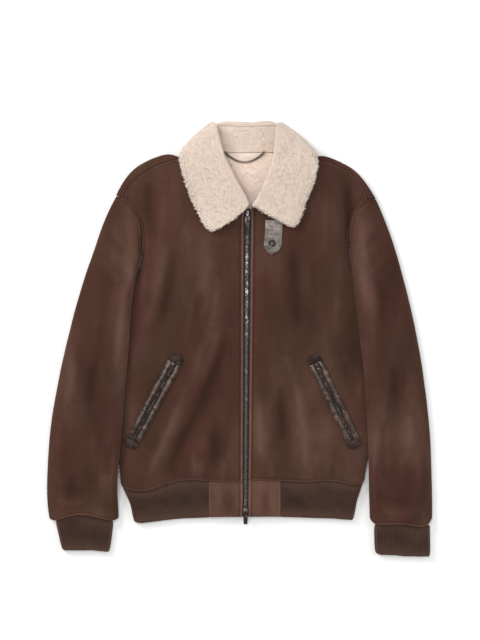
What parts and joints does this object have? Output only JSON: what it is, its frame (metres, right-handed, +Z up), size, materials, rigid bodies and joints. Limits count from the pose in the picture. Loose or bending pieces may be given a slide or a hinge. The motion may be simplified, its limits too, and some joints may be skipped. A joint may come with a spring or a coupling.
{
  "type": "suede jacket",
  "caption": "Suede bomber jacket lined with shorn sheepskin, wool collar, rib hem and cuffs, slanted zip pockets and a throat tab, zipped and laid flat on its back.",
  "frame": {"origin": "middle of the jacket's outline, on the surface that it lies on", "axes": "+Z up out of the fronts, +Y towards the collar, +X towards the wearer's left"},
  "size_m": [0.704, 0.7925, 0.0447],
  "materials": {
    "suede": "brown suede with a soft two-tone nap",
    "fleece": "cream shorn wool, tightly curled",
    "rib_knit": "dark brown wool rib, matt",
    "smooth_leather": "dark brown smooth leather, semi-gloss",
    "grey_leather": "grey-taupe crackled leather",
    "dark_nickel": "aged nickel",
    "zip_tape": "woven tape",
    "braid": "plain brown braid"
  },
  "bodies": {
    "jacket": {"back": "suede", "collar_fall": "fleece", "collar_stand": "fleece", "cuff_left": "rib_knit", "cuff_right": "rib_knit", "front_left": "suede", "front_right": "suede", "hanger_loop": "braid", "hem_end_left": "suede", "hem_end_right": "suede", "hem_rib": "rib_knit", "pocket_left_cap_bottom": "smooth_leather", "pocket_left_cap_top": "smooth_leather", "pocket_left_slider": "dark_nickel", "pocket_left_welt_inner": "smooth_leather", "pocket_left_welt_outer": "smooth_leather", "pocket_left_zip": "dark_nickel", "pocket_right_cap_bottom": "smooth_leather", "pocket_right_cap_top": "smooth_leather", "pocket_right_slider": "dark_nickel", "pocket_right_welt_inner": "smooth_leather", "pocket_right_welt_outer": "smooth_leather", "pocket_right_zip": "dark_nickel", "sleeve_left": "suede", "sleeve_right": "suede", "slider_bottom": "dark_nickel", "slider_top": "dark_nickel", "throat_snap": "dark_nickel", "throat_tab": "grey_leather", "zip_chain": "dark_nickel", "zip_tape": "zip_tape"},
    "pull_top_body": {"pull_top": "dark_nickel"},
    "pull_bottom_body": {"pull_bottom": "dark_nickel"},
    "pocket_right_pull_body": {"pocket_right_pull": "dark_nickel"},
    "pocket_left_pull_body": {"pocket_left_pull": "dark_nickel"}
  },
  "joints": [
    {"name": "pull_top_hinge", "type": "hinge", "parent": "jacket", "child": "pull_top_body", "pos_m": [0.01435, 0.2096, 0.0201], "axis": [-1, 0, 0], "range_deg": [0, 180]},
    {"name": "pull_bottom_hinge", "type": "hinge", "parent": "jacket", "child": "pull_bottom_body", "pos_m": [0.01087, -0.3204, 0.0201], "axis": [-1, 0, 0], "range_deg": [0, 180]},
    {"name": "pocket_right_pull_hinge", "type": "hinge", "parent": "jacket", "child": "pocket_right_pull_body", "pos_m": [-0.12288, -0.05278, 0.02792], "axis": [-0.8804, 0.4743, 0], "range_deg": [0, 180]},
    {"name": "pocket_left_pull_hinge", "type": "hinge", "parent": "jacket", "child": "pocket_left_pull_body", "pos_m": [0.14283, -0.05331, 0.02791], "axis": [-0.9008, -0.4343, 0], "range_deg": [0, 180]}
  ]
}
